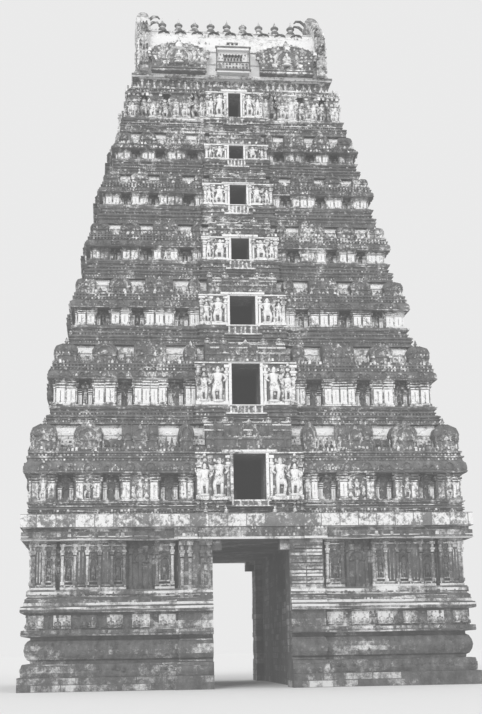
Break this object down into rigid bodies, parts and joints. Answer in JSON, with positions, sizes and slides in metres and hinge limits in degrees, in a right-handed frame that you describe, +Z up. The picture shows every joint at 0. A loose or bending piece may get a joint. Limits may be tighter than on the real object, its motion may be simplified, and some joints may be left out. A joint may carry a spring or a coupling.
{
  "type": "gopuram gate tower",
  "caption": "Stepped temple gate tower: a moulded stone base with a passage through it, hollow plastered storeys with windows, and a barrel roof with gables and pot finials.",
  "frame": {"origin": "middle of the base at ground level, on the axis of the passage", "axes": "+X along the front, to the right of someone who faces it; +Y from the front to the back, along the passage; +Z up"},
  "size_m": [20.8, 16.48, 36.54],
  "materials": {
    "granite": "matte",
    "plaster": "matte",
    "limewash": "matte",
    "timber": "matte",
    "pot_metal": "satin"
  },
  "bodies": {
    "root": {"base_plinth_right": "granite", "base_plinth_left": "granite", "base_wall_right": "granite", "base_wall_left": "granite", "front_lintel": "granite", "back_lintel": "granite", "passage_ceiling": "granite", "base_slab": "limewash", "tier_1_walls": "plaster", "tier_1_floor": "timber", "tier_1_parapet": "plaster", "tier_2_walls": "plaster", "tier_2_floor": "timber", "tier_2_parapet": "plaster", "tier_3_walls": "plaster", "tier_3_floor": "timber", "tier_3_parapet": "plaster", "tier_4_walls": "plaster", "tier_4_floor": "timber", "tier_4_parapet": "plaster", "tier_5_walls": "plaster", "tier_5_floor": "timber", "tier_5_parapet": "plaster", "tier_6_walls": "plaster", "tier_6_floor": "timber", "tier_6_parapet": "plaster", "tier_7_walls": "plaster", "tier_7_floor": "timber", "roof_neck": "plaster", "roof_vault": "limewash", "gable_right": "plaster", "gable_left": "plaster", "dormer_front_right": "plaster", "dormer_front_left": "plaster", "dormer_back_right": "plaster", "dormer_back_left": "plaster", "niche_front": "limewash", "niche_back": "limewash", "finial_1": "pot_metal", "finial_2": "pot_metal", "finial_3": "pot_metal", "finial_4": "pot_metal", "finial_5": "pot_metal", "finial_6": "pot_metal", "finial_7": "pot_metal", "finial_8": "pot_metal", "finial_9": "pot_metal"}
  },
  "joints": []
}
